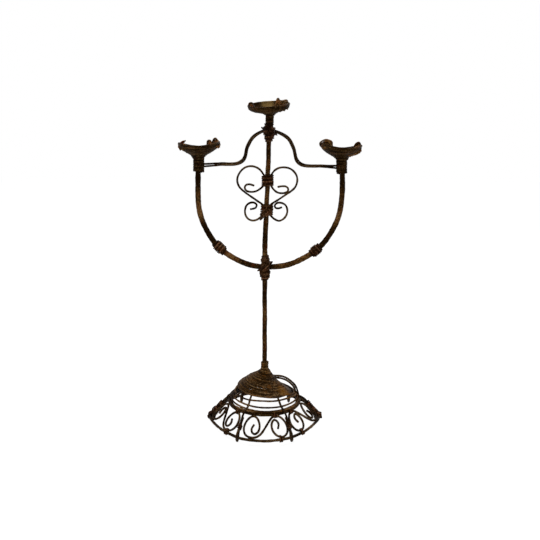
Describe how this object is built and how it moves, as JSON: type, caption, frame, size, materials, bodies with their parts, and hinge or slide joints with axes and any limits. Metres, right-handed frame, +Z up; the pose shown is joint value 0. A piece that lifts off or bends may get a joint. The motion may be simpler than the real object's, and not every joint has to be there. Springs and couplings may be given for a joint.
{
  "type": "three-light candle stand",
  "caption": "Candle stand of lashed iron rod and wire: a stem on an open coiled base carries a half-round arm and wire cups for candles.",
  "frame": {"origin": "on the table under the middle of the whole stand", "axes": "+Z up, -Y towards the viewer, +X to the viewer's right along the arms"},
  "size_m": [0.295, 0.1784, 0.5138],
  "materials": {
    "rod_iron": "dark brown, oiled and worn, with faint rust",
    "wire_iron": "dark brown with rust tints, rough",
    "binding_iron": "dark reddish brown, rough"
  },
  "bodies": {
    "root": {"stem": "rod_iron", "arm_hoop": "rod_iron", "bracket_wire_upper": "wire_iron", "bracket_wire_lower": "wire_iron", "cup_left": "wire_iron", "cup_right": "wire_iron", "cup_top": "wire_iron", "cup_left_loop_outer": "wire_iron", "cup_left_loop_inner": "wire_iron", "cup_right_loop_inner": "wire_iron", "cup_right_loop_outer": "wire_iron", "cup_top_loop_left": "wire_iron", "cup_top_loop_right": "wire_iron", "heart_scroll_left": "wire_iron", "heart_scroll_right": "wire_iron", "base_coil": "wire_iron", "base_strand_outer": "wire_iron", "base_strand_inner": "wire_iron", "upper_ring": "wire_iron", "foot_ring": "wire_iron", "leg_1": "wire_iron", "leg_2": "wire_iron", "leg_3": "wire_iron", "leg_4": "wire_iron", "leg_5": "wire_iron", "leg_6": "wire_iron", "scroll_1": "wire_iron", "scroll_2": "wire_iron", "scroll_3": "wire_iron", "scroll_4": "wire_iron", "scroll_5": "wire_iron", "scroll_6": "wire_iron", "hub_lashing_upper": "binding_iron", "hub_lashing_cross": "binding_iron", "hub_lashing_lower": "binding_iron", "top_lashing_rising": "binding_iron", "top_lashing_falling": "binding_iron", "top_lashing_lower": "binding_iron", "arm_wrap_left": "binding_iron", "arm_wrap_right": "binding_iron", "heart_binding_upper": "binding_iron", "heart_binding_lower": "binding_iron", "foot_binding_1": "binding_iron", "foot_binding_2": "binding_iron", "foot_binding_3": "binding_iron", "foot_binding_4": "binding_iron", "foot_binding_5": "binding_iron", "foot_binding_6": "binding_iron", "tie_foot_1": "binding_iron", "tie_foot_2": "binding_iron", "tie_foot_3": "binding_iron", "tie_foot_4": "binding_iron", "tie_foot_5": "binding_iron", "tie_foot_6": "binding_iron", "tie_upper_1": "binding_iron", "tie_upper_2": "binding_iron", "tie_upper_3": "binding_iron", "tie_upper_4": "binding_iron", "tie_upper_5": "binding_iron", "tie_upper_6": "binding_iron"}
  },
  "joints": []
}
